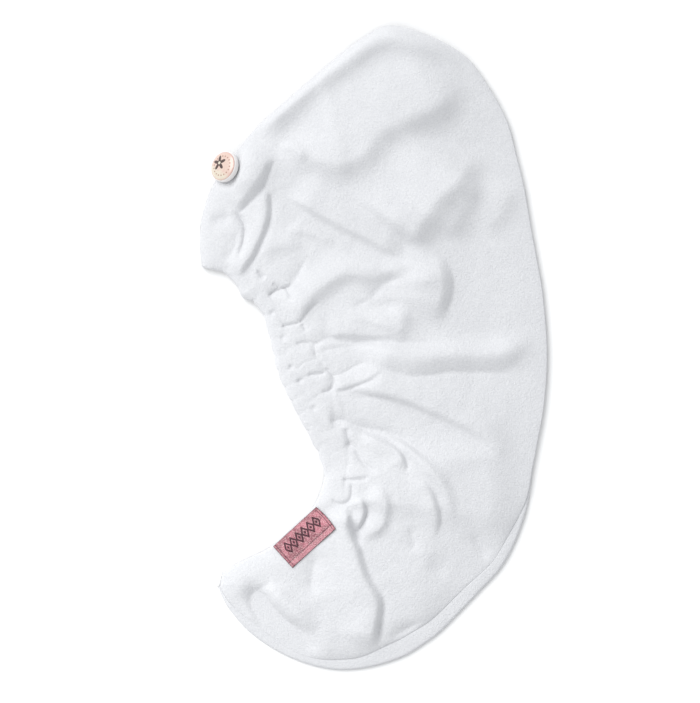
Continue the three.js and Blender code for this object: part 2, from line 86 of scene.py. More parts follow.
# Folds of the upper panel, each with its height, its width on the left of the path, its width on
# the right, the share of the path that fades in, the share that fades out, and the path. A slope
# has its high side on the left. A crease is a pinched valley. A swell is a round ridge or, with a
# negative height, a round hollow.
SLOPES = {
    "edge_roll": (10, 20, 13, 0.12, 0.22, [(-112, 207), (-94, 224), (-74, 242), (-54, 259),
        (-34, 272), (-14, 286), (3, 296), (21, 299), (41, 294), (66, 286), (90, 270)]),
    "ridge_fork": (3, 7, 4, 0.3, 0.4, [(-64, 186), (-69, 193), (-75, 199), (-85, 202), (-98, 201)]),
    "crown": (11.5, 74, 17, 0.34, 0.2, [(-99, 192), (-84, 186), (-64, 181), (-49, 176), (-34, 173),
        (-20, 177), (-8, 184), (1, 193), (9, 203), (20, 212), (41, 220), (66, 232), (86, 248),
        (103, 257)]),
    "crown_left": (5.5, 22, 14, 0.4, 0.5, [(-101, 197), (-84, 187), (-64, 181), (-49, 176),
        (-32, 172), (-14, 175)]),
    "crown_wide": (2.5, 34, 26, 0.3, 0.3, [(6, 196), (30, 212), (56, 222), (82, 238), (103, 252)]),
    "middle": (13, 62, 16, 0.12, 0.3, [(40, 97), (49, 112), (60, 127), (71, 142), (82, 153),
        (91, 163), (98, 173), (103, 185), (106, 200)]),
    "middle_right": (8, 30, 14, 0.25, 0.3, [(76, 102), (87, 121), (97, 141), (103, 154),
        (109, 170)]),
    "seam_side": (4.5, 36, 13, 0.3, 0.35, [(108, 108), (124, 124), (133, 137), (140, 150),
        (147, 165)]),
    "knot": (8.5, 44, 11, 0.35, 0.4, [(58, 16), (67, 34), (72, 52), (73, 66), (68, 82), (54, 98)]),
    "knot_side": (4.5, 26, 18, 0.4, 0.4, [(36, 48), (49, 58), (57, 71), (56, 85), (46, 98)]),
    "thin_ridge": (6, 26, 4, 0.2, 0.2, [(-90, 150), (-74, 142), (-54, 130), (-30, 117), (-9, 107),
        (11, 96), (30, 89)]),
    "low_ridge": (2.6, 8, 4, 0.25, 0.3, [(-88, 116), (-69, 112), (-54, 106), (-38, 98)]),
    "collar": (3, 12, 7, 0.35, 0.35, [(-116, 89), (-99, 96), (-84, 97), (-70, 94)]),
    "upper_gather": (6.5, 15, 9.5, 0.12, 0.45, [(-74, 22), (-68, 34), (-62, 43), (-54, 51),
        (-44, 59), (-34, 65), (-22, 68), (-8, 66), (4, 66), (18, 70), (36, 74), (58, 80)]),
    "pillow_end": (6, 28, 12, 0.4, 0.4, [(14, 0), (28, 10), (33, 22), (33, 35), (24, 50)]),
    "pillow": (3.5, 20, 4, 0.2, 0.35, [(-50, 9), (-29, 11), (-9, 10), (14, 10), (30, 14)]),
    "cross_tube": (8, 13, 13, 0.2, 0.2, [(-24, -8), (-4, -13), (16, -16), (31, -19), (56, -19),
        (76, -17), (106, -17), (131, -14), (150, -6), (166, 6)]),
    "finger": (1.5, 12, 3, 0.15, 0.2, [(-41, -42), (-29, -41), (-16, -36), (-4, -31), (5, -24),
        (7, -17)]),
    "lower_valley": (8, 34, 8, 0.2, 0.35, [(-29, -43), (-4, -48), (26, -55), (56, -67), (81, -78),
        (98, -87), (114, -99), (134, -118)]),
    "lower_right": (8, 130, 25, 0.3, 0.35, [(114, -210), (124, -190), (130, -165), (130, -138),
        (125, -110), (118, -84), (108, -56)]),
    "petal": (5, 12, 3.6, 0.25, 0.35, [(32, -125), (31, -114), (25, -104), (14, -97), (-4, -89),
        (-14, -84)]),
    "lobe": (4.5, 14, 5.5, 0.25, 0.25, [(-14, -193), (-2, -188), (7, -182), (12, -173), (14, -161),
        (12, -150), (6, -142), (-4, -135)]),
    "inner_lobe": (3.5, 8, 3, 0.25, 0.25, [(-20, -186), (-15, -179), (-11, -170), (-10, -161),
        (-13, -153), (-20, -148)]),
    "lower_arc": (3.4, 12, 4.5, 0.3, 0.3, [(59, -195), (64, -178), (63, -163), (58, -147),
        (51, -137), (41, -131), (32, -124)]),
    "tail_edge": (6.5, 24, 5.5, 0.12, 0.12, [(1, -304), (2, -286), (5, -266), (4, -252), (-2, -240),
        (-8, -228), (-13, -213), (-17, -198), (-21, -183), (-25, -168), (-29, -154)]),
    "corner_ridge": (6, 24, 8, 0.2, 0.25, [(-138, 134), (-128, 146), (-119, 157), (-111, 168),
        (-105, 179), (-96, 192)]),
    "corner_finger": (4, 12, 4.4, 0.15, 0.15, [(-137, 68), (-129, 80), (-122, 91), (-116, 102),
        (-111, 114), (-107, 127), (-106, 140), (-107, 152), (-112, 162)]),
    "corner_line": (-2.6, 6, 9, 0.4, 0.4, [(-166, 118), (-152, 121), (-139, 123)]),
}
CREASES = {
    "knot_foot": (2.2, 3, 2.4, 0.3, 0.4, [(66, 24), (74, 38), (78, 52), (79, 66), (74, 82),
        (62, 98)]),
    "gather_foot": (3, 1.8, 2.2, 0.1, 0.4, [(-75, 23), (-67, 33), (-60, 41), (-50, 46)]),
    "pillow_dent": (2.6, 6, 5, 0.25, 0.4, [(-4, 44), (4, 56), (14, 64), (28, 68)]),
    "pillow_tuck": (1.4, 2.5, 2.5, 0.3, 0.4, [(-20, 38), (-14, 43), (-2, 46)]),
    "pillow_crease": (3.2, 5, 2.2, 0.12, 0.4, [(-60, 2), (-54, 5), (-44, 8), (-29, 6), (-9, 4),
        (16, 4), (56, 3), (90, 3)]),
    "tube_crease": (1.8, 2, 3, 0.2, 0.4, [(-56, -5), (-44, -2), (-29, 0), (-6, 2)]),
    "tube_foot": (2, 3, 3, 0.2, 0.2, [(-4, -19), (16, -23), (31, -28), (56, -28), (76, -25),
        (106, -25), (131, -24), (146, -14)]),
    "finger_top": (1.5, 2.4, 2.4, 0.15, 0.3, [(-46, -27), (-34, -27), (-22, -21), (-12, -17),
        (0, -16)]),
    "finger_foot": (2, 1.6, 1.8, 0.15, 0.3, [(-41, -44), (-29, -43), (-16, -38), (-3, -33),
        (8, -24)]),
    "faint_line": (1.2, 3, 3, 0.3, 0.4, [(-40, -45), (-20, -50), (10, -52), (40, -66)]),
    "valley_line": (2.2, 4, 3, 0.1, 0.5, [(-29, -44), (-4, -49), (26, -56), (56, -68), (81, -79),
        (97, -88), (112, -100)]),
    "arc_crease": (4, 6, 3, 0.05, 0.35, [(-44, -78), (-34, -73), (-29, -76), (-14, -80), (1, -83),
        (16, -87), (31, -95), (46, -106), (61, -120), (70, -132)]),
    "second_arc": (2.4, 2, 2.5, 0.2, 0.3, [(-20, -81), (-6, -85), (8, -91), (20, -98), (28, -108),
        (32, -124)]),
    "petal_foot": (2.2, 1.6, 1.8, 0.3, 0.4, [(33, -126), (32, -114), (26, -103)]),
    "petal_tie": (2.2, 2, 2, 0.2, 0.2, [(-27, -80), (-26, -90), (-21, -100)]),
    "petal_edge": (3, 3, 3, 0.15, 0.3, [(-31, -99), (-23, -99), (-18, -104), (-14, -112),
        (-5, -120), (6, -126)]),
    "lobe_crease": (4, 2, 3, 0.2, 0.3, [(-18, -188), (-13, -179), (-9, -170), (-8, -161),
        (-11, -152)]),
    "lower_arc_foot": (1.5, 1.8, 2.2, 0.3, 0.4, [(62, -190), (66, -177), (65, -162), (60, -147),
        (52, -135)]),
    "soft_dent": (2.4, 6, 5, 0.35, 0.35, [(34, -178), (39, -192), (41, -208)]),
    "low_dent": (2.2, 9, 8, 0.45, 0.45, [(50, -212), (62, -220), (78, -228)]),
    "foot_line": (3, 5, 4, 0.3, 0.5, [(14, -292), (30, -284), (52, -272)]),
    "right_slope": (2.4, 5, 3, 0.35, 0.35, [(96, -184), (104, -198), (114, -216)]),
    "tail_spot": (3, 2.5, 3, 0.35, 0.25, [(8, -246), (8, -262), (6, -280), (5, -302)]),
    "tail_foot": (1.6, 2.5, 2.5, 0.15, 0.2, [(4, -302), (6, -286), (9, -266), (8, -252), (1, -239),
        (-5, -227), (-10, -212), (-14, -197), (-18, -182), (-22, -168)]),
    "tail_dip": (4.5, 10, 10, 0.35, 0.35, [(-59, -200), (-60, -218), (-62, -235), (-58, -254)]),
    "tail_valley": (9.5, 12, 14, 0.28, 0.35, [(-128, -231), (-119, -247), (-110, -260),
        (-100, -272), (-87, -284), (-68, -296), (-46, -305)]),
    "tail_tip": (1.4, 3, 3, 0.3, 0.4, [(-119, -244), (-109, -239), (-100, -234)]),
    "corner_foot": (3.2, 3, 2, 0.15, 0.2, [(-137, 131), (-126, 143), (-117, 152), (-109, 162),
        (-104, 176), (-97, 189)]),
    "corner_crease": (4.2, 2.4, 2, 0.2, 0.25, [(-137, 88), (-133, 98), (-131, 106), (-130, 114),
        (-131, 122), (-135, 130), (-143, 137)]),
    "finger_crease": (3, 2, 2.2, 0.2, 0.12, [(-133, 70), (-119, 90), (-109, 112), (-104, 127),
        (-103, 140), (-104, 156)]),
    "puff_side": (2, 6, 3, 0.3, 0.3, [(-148, 82), (-144, 92), (-139, 102), (-138, 118)]),
    "curl": (2.2, 2, 2, 0.3, 0.3, [(-116, 78), (-113, 72), (-107, 69)]),
    "cross_smile": (4, 1.8, 1.8, 0.15, 0.15, [(-106, 50), (-98, 56), (-94, 59), (-88, 58),
        (-81, 64)]),
    "cross_arm": (2.6, 6, 3, 0.1, 0.4, [(-83, 62), (-76, 72), (-71, 82), (-66, 90)]),
    "cross_left": (2, 1.6, 1.6, 0.2, 0.3, [(-94, 59), (-102, 64)]),
    "cross_tail": (2.8, 1.6, 1.6, 0.1, 0.4, [(-88, 58), (-84, 51), (-82, 44)]),
    "tie_1": (2.4, 1.6, 1.6, 0.2, 0.2, [(-93, 20), (-84, 22), (-73, 24)]),
    "tie_2": (1.8, 2, 2, 0.2, 0.3, [(-72, 24), (-67, 14)]),
    "tie_3": (2.2, 1.6, 1.6, 0.2, 0.2, [(-79, 1), (-68, 5), (-59, 3), (-52, 6)]),
    "tie_4": (2.2, 1.8, 1.8, 0.2, 0.2, [(-60, 4), (-59, -3), (-58, -10)]),
    "tie_5": (2.4, 1.6, 1.6, 0.2, 0.2, [(-67, -28), (-57, -27), (-48, -26)]),
    "tie_6": (2.6, 1.6, 1.6, 0.15, 0.15, [(-50, -21), (-44, -29), (-43, -40), (-53, -42)]),
    "tie_7": (2.8, 1.6, 1.6, 0.2, 0.2, [(-33, -132), (-24, -133), (-16, -132), (-4, -131)]),
    "tie_8": (2.8, 1.6, 1.6, 0.2, 0.2, [(-24, -134), (-24, -145), (-28, -154), (-34, -155),
        (-44, -150)]),
    "stitch_line": (1.0, 3, 3, 0.08, 0.08, [(-104, 47), (-89, 23), (-68, 8), (-60, -5), (-49, -23),
        (-43, -38), (-38, -70), (-27, -88), (-26, -110), (-29, -134), (-29, -156)]),
}
SWELLS = {
    "knot_top": (1.6, 10, 10, 0.5, 0.5, [(24, 84), (44, 91), (62, 94)]),
    "valley_spot": (-3, 9, 9, 0.6, 0.4, [(80, -74), (102, -90), (124, -112)]),
    "arc_ridge": (5, 7, 7, 0.3, 0.45, [(4, -89), (20, -94), (34, -102), (48, -113), (60, -126),
        (70, -142), (76, -162), (76, -180)]),
    "pocket": (-6.5, 4.5, 4.5, 0.4, 0.4, [(-25, -166), (-22, -177), (-18, -190), (-15, -202)]),
    "tail_sink": (-7, 11, 12, 0.55, 0.25, [(-132, -223), (-115, -251), (-98, -274), (-67, -297)]),
    "tail_bank": (6.5, 12, 11, 0.35, 0.4, [(-109, -230), (-98, -249), (-80, -267), (-55, -286)]),
    "tail_shore": (3, 9, 8, 0.3, 0.3, [(-136, -252), (-120, -272), (-98, -288), (-72, -303)]),
    "button_dent": (-3.2, 12, 12, 0.5, 0.5, [(-166, 152), (-147, 180), (-128, 208)]),
    "button_rise": (7.5, 5, 26, 0.4, 0.4, [(-142, 152), (-133.5, 168), (-131.5, 182), (-134, 204)]),
}
FOLDS = {"slope": SLOPES, "crease": CREASES, "swell": SWELLS}
FOLD_STEP = 6  # between the points of a path that a fold is measured from
FOLD_BLEND = 1.2 * FOLD_STEP  # how far their measures blend
FOLD_TIP = 0.35  # share of a fold's width that is left at its two ends
STEEPEST = math.sqrt(0.5)  # where a bell is steepest, as a share of its width
CREASE_FLOOR = 0.2  # how far across its width a crease is rounded

# Stitch lines of the casing on the lower panel, by distance from the opening's edge
CASING_FOOT, NEEDLE_FOOT = 46, 19

# Cross creases of the casing, by distance along the opening: those of the row of puffs along the
# edge, up to the needle line, and those of the inner row, up to the inner stitch line
EDGE_TIES = [0, 22, 46, 66, 84, 109, 125, 141, 159, 174, 190, 208, 230, 256]
INNER_TIES = [0, 18, 41, 74, 99, 121, 142, 160, 182, 215, 240, 256]

# Pits of the needle line along the casing: x, y, radius, depth
NEEDLE_PITS = [
    (-102, 34, 2.6, 1.6), (-91, 9, 2.6, 1.8), (-83, -20, 2.4, 2.2), (-74, -34, 2.4, 2.0),
    (-60, -61, 2.6, 1.6), (-112, 71, 3.0, 1.6),
]


def smooth(t):
    k = np.clip(t, 0, 1)
    return k * k * (3 - 2 * k)


def bell(x):
    return np.exp(-x * x)


def quarter(t):
    """Height of a quarter circle as it rises from 0 to 1."""
    return np.sqrt(1 - (1 - np.clip(t, 0, 1)) ** 2)


class Curve:
    """A smooth curve through points of the plan, measured along its length."""

    def __init__(self, points, steps=24):
        p = np.array(points, float)
        q = np.vstack([2 * p[0] - p[1], p, 2 * p[-1] - p[-2]])
        t = np.linspace(0, 1, steps, endpoint=False)[:, None]
        spans = [
            b + 0.5 * t * (c - a + t * (2 * a - 5 * b + 4 * c - d + t * (3 * (b - c) + d - a)))
            for a, b, c, d in zip(q, q[1:], q[2:], q[3:])
        ]
        self.line = np.vstack([*spans, p[-1:]])
        self.far = np.concatenate([[0], np.cumsum(np.hypot(*np.diff(self.line, axis=0).T))])
        self.length = self.far[-1]

    def at(self, share):
        far = np.asarray(share) * self.length
        return np.stack([np.interp(far, self.far, self.line[:, k]) for k in (0, 1)], -1)

    def heading(self, share, reach):
        """Unit direction of travel, taken over a reach on either side."""
        step = reach / self.length
        ahead, behind = np.minimum(share + step, 1), np.maximum(share - step, 0)
        way = self.at(ahead) - self.at(behind)
        return way / np.linalg.norm(way, axis=-1, keepdims=True)


def nearest(line, points):
    """Distance from points to a line, and the share of the line where each is nearest."""
    distance = np.full(len(points), np.inf)
    share = np.zeros(len(points))
    for i, (a, b) in enumerate(zip(line, line[1:])):
        along = np.clip((points - a) @ (b - a) / ((b - a) @ (b - a)), 0, 1)
        away = np.hypot(*(points - a - along[:, None] * (b - a)).T)
        closer = away < distance
        distance[closer] = away[closer]
        share[closer] = (i + along[closer]) / (len(line) - 1)
    return distance, share


def ripples(points, pitch, seed):
    """Smooth seeded relief between -1 and 1, on a grid of the given pitch."""
    q = (points + 500) / pitch
    low = np.floor(q).astype(int)
    grid = np.random.default_rng(seed).uniform(-1, 1, tuple(low.max(0) + 2))
    fx, fy = smooth(q - low).T
    x, y = low.T
    left = grid[x, y] * (1 - fy) + grid[x, y + 1] * fy
    right = grid[x + 1, y] * (1 - fy) + grid[x + 1, y + 1] * fy
    return left * (1 - fx) + right * fx


def fold_height(kind, fold, points):
    """Height that one fold adds at points of the plan."""
    height, left, right, fade_in, fade_out, path = fold
    curve = Curve(path, 8)
    reach = 3.2 * max(left, right) + 20
    corners = np.array(path)
    near = np.all((points > corners.min(0) - reach) & (points < corners.max(0) + reach), axis=1)
    added = np.zeros(len(points))
    if not near.any():
        return added
    count = max(8, round(curve.length / FOLD_STEP))
    shares = np.linspace(0, 1, count + 1)
    line = curve.at(shares)
    way = curve.heading(shares, FOLD_STEP)
    gap = points[near][:, None] - line
    squares = (gap ** 2).sum(2)
    least = squares.min(1, keepdims=True)
    softness = 2 * FOLD_BLEND * np.sqrt(least + FOLD_BLEND ** 2)
    weight = np.exp((least - squares) / softness)
    weight /= weight.sum(1, keepdims=True)
    offset = (weight * (gap[..., 1] * way[:, 0] - gap[..., 0] * way[:, 1])).sum(1)
    share = (weight * (shares + (gap * way).sum(2) / curve.length)).sum(1)
    fade = smooth(share / fade_in) * smooth((1 - share) / fade_out)
    narrow = FOLD_TIP + (1 - FOLD_TIP) * np.sqrt(fade)
    width = np.where(offset > 0, left, right)
    if kind == "slope":
        crest = offset - STEEPEST * right
        section = bell(crest / np.where(crest > 0, left * narrow, right))
    elif kind == "crease":
        section = -np.exp(CREASE_FLOOR - np.hypot(offset / width, CREASE_FLOOR))
    else:
        section = bell(offset / (width * narrow))
    added[near] = height * fade * section
    return added


seam = Curve(SEAM)
inner = Curve(OPENING + TAIL_INSIDE)
inner_line = inner.at(np.linspace(0, 1, 121))
opening_end = nearest(inner_line, np.array([OPENING[-1]], float))[1][0]
opening_line = inner_line[: round(opening_end * 120) + 1]
opening_length = inner.length * opening_end


def band_width(share):
    """Width of the lower panel outside the upper one."""
    shares, widths = np.array(BAND).T
    i = np.clip(np.searchsorted(shares, share), 1, len(shares) - 1)
    k = smooth((share - shares[i - 1]) / (shares[i] - shares[i - 1]))
    return LIP + widths[i - 1] + (widths[i] - widths[i - 1]) * k


def band_share(width):
    """How far the band is a full roll: 1 where it is wide, 0 where only the seam's lip shows."""
    return smooth((width - LIP) / 5)


def inside_seam(share, inset):
    """The seam moved inwards by a distance."""
    x, y = seam.heading(share, 12).T
    return seam.at(share) + np.stack([y, -x], -1) * inset[:, None]


def upper_edge(share):
    return inside_seam(share, band_width(share))


SEAM_SHARES = np.linspace(0, 1, 241)
outer_line = upper_edge(SEAM_SHARES)
sewn_lines = [
    outer_line,
    inner_line[len(opening_line) - 1:],
    np.array([inner_line[0], outer_line[0]]),
    np.array([inner_line[-1], outer_line[-1]]),
]


def open_ends(along):
    """1 along the opening, and 0 at its two sewn ends."""
    return smooth(along / 26) * smooth((opening_length - along) / 26)


def pillow(along, ties):
    """Puffs between ties: 1 in the middle of each, and 0 at the creases between them."""
    place = np.interp(along, ties, np.arange(len(ties)))
    return 1 - np.abs(2 * (place % 1) - 1) ** 3.4


def scalloped_inset(share):
    """How far the casing's edge draws in from the opening's line, most between its puffs."""
    inside = np.clip(share * inner.length, 0, opening_length)
    return 1.8 * (1 - pillow(inside, EDGE_TIES)) * open_ends(inside)


class Relief:
    """Heights of the upper panel over the plan, from the sizes that a user sets."""

    def __init__(self, cloth):
        self.thickness, self.loft = cloth.thickness / MM, cloth.loft / MM
        self.roll_height, self.roll_reach = cloth.roll_height / MM, cloth.roll_reach / MM
        self.shoulder = cloth.shoulder / MM
        self.casing, self.needle = cloth.casing_width / MM, cloth.needle_line / MM
        self.folds = cloth.fold_share
        self.seated = 2 * self.thickness + CLEARANCE

    def from_sewn(self, points):
        return np.min([nearest(line, points)[0] for line in sewn_lines], axis=0)

    def gathers(self, points, distance, share):
        """Puffs, puckers and stitch lines of the casing along the opening."""
        ends = open_ends(share * opening_length)
        along = share * opening_length + 3.5 * ripples(points, 15, 11)
        away = distance + 2.5 * ripples(points, 17, 12)
        start = 0.5 * self.needle
        inner_row = 2 * (away - start) / (self.casing - start) - 1
        edge_row = 2 * away / self.needle - 1
        puffs = 0.75 * pillow(along, INNER_TIES) * np.clip(1 - inner_row ** 2, 0, 1) ** 0.7
        scallops = 0.45 * pillow(along, EDGE_TIES) * np.clip(1 - edge_row ** 2, 0, 1) ** 0.7
        line = np.stack([along, away], -1)
        pucker = ripples(line, 9, 13) * bell((distance - self.casing) / 12)
        crimp = ripples(line, 5, 14) * bell((distance - 0.5 * self.casing) / 18)
        return ends * (puffs + scallops + 0.5 * pucker + 0.12 * crimp)

    def mouth_drop(self, distance, share):
        """How far the casing rounds over towards the edge of the opening."""
        lean = 2.8 * (1 - smooth(distance / CASING_FOOT))
        edge = 3.7 * (1 - quarter(distance / 12))
        return open_ends(share * opening_length) * (lean + edge)

    def top(self, points):
        inward = self.from_sewn(points)
        distance, share = nearest(opening_line, points)
        x, y = points.T
        # The long right side has a low, tight roll; elsewhere it is higher and wider
        right = smooth((x - 40) / 70) * smooth((262 - y) / 60)
        tight, wide = 0.12 * right, 0.35 * (1 - right)
        roll = tight * quarter(inward / self.roll_reach)
        roll += wide * quarter(inward / (4 * self.roll_reach))
        roll += (1 - tight - wide) * (1 - np.exp(-inward / (self.shoulder * (1 + right))))
        loft = 1 - np.exp(-inward / 60)
        laid = [(kind, fold) for kind, folds in FOLDS.items() for fold in folds.values()]
        folds = sum(fold_height(kind, fold, points) for kind, fold in laid)
        pits = sum(
            -depth * bell(np.hypot(*(points - (x, y)).T) / radius)
            for x, y, radius, depth in NEEDLE_PITS
        )
        waves = 0.5 * ripples(points, 34, 1) + 0.35 * ripples(points, 15, 2)
        pile = 0.14 * ripples(points, 4.2, 3) + 0.1 * ripples(points, 2.1, 4)
        body = self.roll_height * (1 - 0.5 * right) * roll + self.loft * loft
        body += roll * (waves + pile)
        folds *= quarter(inward / 10)
        added = self.folds * (folds + pits + self.gathers(points, distance, share))
        added = added - self.mouth_drop(distance, share)
        return np.maximum(self.seated + body + added, self.seated)


def spread(lengths, first, body, last):
    """Shares across each row: fixed distances from its start, even steps, fixed ones to its end."""
    squeeze = np.minimum(1, lengths / 110) / lengths
    start = np.outer(squeeze, first)
    end = 1 - np.outer(squeeze, last)
    k = np.linspace(0, 1, body + 2)[1:-1]
    middle = start[:, -1:] + (end[:, :1] - start[:, -1:]) * k
    return np.hstack([start, middle, end])


def plan_grid(rows, inset, first, body, last):
    """Points of a panel in plan, in rows from the inner edge to the upper panel's outer edge."""
    shares = np.linspace(0, 1, rows + 1)
    start, end = inner.at(shares), upper_edge(shares)
    lengths = np.linalg.norm(end - start, axis=1)
    start = start + (end - start) * (np.broadcast_to(inset, lengths.shape) / lengths)[:, None]
    k = spread(lengths, first, body, last)[..., None]
    return start[:, None] * (1 - k) + end[:, None] * k


def sheet_between(name, plan, above, below, step=1):
    """A closed sheet over a grid of the plan, in millimetres, from the heights of its two sides
    that meet round the edge. The underside has one face for each step of faces on top."""
    top, bottom = (np.dstack([plan, z.reshape(plan.shape[:2])]) for z in (above, below))
    rows, columns = plan.shape[:2]
    number = np.arange(rows * columns).reshape(rows, columns)
    quads = np.stack([number[:-1, :-1], number[1:, :-1], number[1:, 1:], number[:-1, 1:]], -1)
    faces = quads.reshape(-1, 4).tolist()
    under = number[::step, ::step].copy()
    inside = under[1:-1, 1:-1]
    inside[:] = rows * columns + np.arange(inside.size).reshape(inside.shape)
    last_i, last_j = under.shape[0] - 2, under.shape[1] - 2
    for i in range(last_i + 1):
        for j in range(last_j + 1):
            u, v = i * step, j * step
            face = [under[i, j]]
            face += list(number[0, v + 1: v + step]) if i == 0 else []
            face += [under[i, j + 1]]
            face += list(number[u + 1: u + step, -1]) if j == last_j else []
            face += [under[i + 1, j + 1]]
            face += list(number[-1, v + 1: v + step][::-1]) if i == last_i else []
            face += [under[i + 1, j]]
            face += list(number[u + 1: u + step, 0][::-1]) if j == 0 else []
            faces.append([int(k) for k in face])
    points = np.vstack([top.reshape(-1, 3), bottom[::step, ::step][1:-1, 1:-1].reshape(-1, 3)])
    return smooth_object(name, points * MM, faces)


def smooth_object(name, points, faces):
    mesh = bpy.data.meshes.new(name)
    mesh.from_pydata(np.asarray(points).tolist(), [], faces)
    mesh.shade_smooth()
    made = bpy.data.objects.new(name, mesh)
    bpy.context.scene.collection.objects.link(made)
    return made


def place(piece, finish, slot, *nodes):
    """Gives a piece its finish, rides it on the body and hides the CAD nodes that it stands for."""
    piece.data.materials.append(finish)
    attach(piece, "root")
    if nodes:
        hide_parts(*nodes)


def maths(operation, swapped=False):
    """One of a Link's operators, which adds a Math node."""
    def method(self, *others):
        values = (*others, self) if swapped else (self, *others)
        return self.finish.math(operation, *values)
    return method


class Link:
    """A socket's value in a material, worked on with Python's operators."""

    def __init__(self, finish, socket):
        self.finish, self.socket = finish, socket

    __add__ = __radd__ = maths("ADD")
    __mul__ = __rmul__ = maths("MULTIPLY")
    __sub__ = maths("SUBTRACT")
    __rsub__ = maths("SUBTRACT", swapped=True)
    __truediv__ = maths("DIVIDE")
    __lt__ = maths("LESS_THAN")
    __gt__ = maths("GREATER_THAN")
    __abs__ = maths("ABSOLUTE")


class Finish:
    """One material: its shader, and the nodes that feed it."""

    def __init__(self, name, **fixed):
        self.material = bpy.data.materials.new(name)
        self.material.use_nodes = True
        self.tree = self.material.node_tree
        self.shader = self.tree.nodes["Principled BSDF"]
        for socket, value in fixed.items():
            self.shader.inputs[socket.replace("_", " ")].default_value = value
        self.where = self.node("ShaderNodeTexCoord", output="Object")

    def node(self, kind, settings=None, inputs=None, output=0):
        """Adds a node with its settings, then the values or links of its inputs."""
        made = self.tree.nodes.new(kind)
        for key, value in (settings or {}).items():
            setattr(made, key, value)
        for key, value in (inputs or {}).items():
            self.feed(made.inputs[key], value)
        return Link(self, made.outputs[output])

    def feed(self, socket, value):
        if isinstance(value, Link):
            self.tree.links.new(value.socket, socket)
        elif socket.type == "RGBA":
            socket.default_value = (*value, 1)
        else:
            socket.default_value = value

    def math(self, operation, *values):
        return self.node("ShaderNodeMath", {"operation": operation}, dict(enumerate(values)))

    def clamp(self, value):
        return self.node("ShaderNodeClamp", None, {"Value": value})

    def step(self, value, low, high):
        """0 below low, 1 above high, with a smooth change between."""
        settings = {"interpolation_type": "SMOOTHSTEP"}
        inputs = {"Value": value, "From Min": low, "From Max": high}
        return self.node("ShaderNodeMapRange", settings, inputs)

    def mix(self, factor, first, second):
        settings = {"data_type": "RGBA"}
        return self.node("ShaderNodeMix", settings, {0: factor, 6: first, 7: second}, 2)

    def scaled(self, vector, factors):
        inputs = {0: vector, 1: factors}
        return self.node("ShaderNodeVectorMath", {"operation": "MULTIPLY"}, inputs)

    def noise(self, scale, detail=2, roughness=0.6, vector=None):
        inputs = {"Scale": scale, "Detail": detail, "Roughness": roughness}
        inputs["Vector"] = vector or self.where
        return self.node("ShaderNodeTexNoise", None, inputs)

    def across(self):
        """The two directions of the piece's own map, as numbers."""
        both = self.node("ShaderNodeTexCoord", output="UV")
        split = self.node("ShaderNodeSeparateXYZ", None, {0: both})
        return split, Link(self, split.socket.node.outputs[1])

    def show(self, colour, roughness, height=None, strength=0, depth=0):
        """Feeds the shader its colour and roughness, and a bump of a depth in metres."""
        self.feed(self.shader.inputs["Base Color"], colour)
        self.feed(self.shader.inputs["Roughness"], roughness)
        if height is not None:
            inputs = {"Height": height, "Strength": strength, "Distance": depth}
            self.feed(self.shader.inputs["Normal"], self.node("ShaderNodeBump", None, inputs))
        return self.material


def plush_finish(colours):
    """Short plush pile: brushed patches, clumps, tufts and single fibres, softly sheened."""
    finish = Finish("plush_pile", Sheen_Weight=0.35, Sheen_Roughness=0.45, Specular_IOR_Level=0.15)
    tufts, fibres = finish.noise(620, 3), finish.noise(2400)
    clumps, brushed = finish.noise(360), finish.noise(45, 2, 0.5)
    shade = finish.step(0.6 * tufts + 0.35 * fibres + 0.15 * brushed, 0.42, 0.68)
    height = 0.5 * tufts + 0.2 * fibres + 0.35 * clumps + 0.4 * brushed
    colour = finish.mix(shade, colours.cloth_deep, colours.cloth)
    return finish.show(colour, 0.88 + 0.1 * tufts, height, strength=0.9, depth=0.0018)


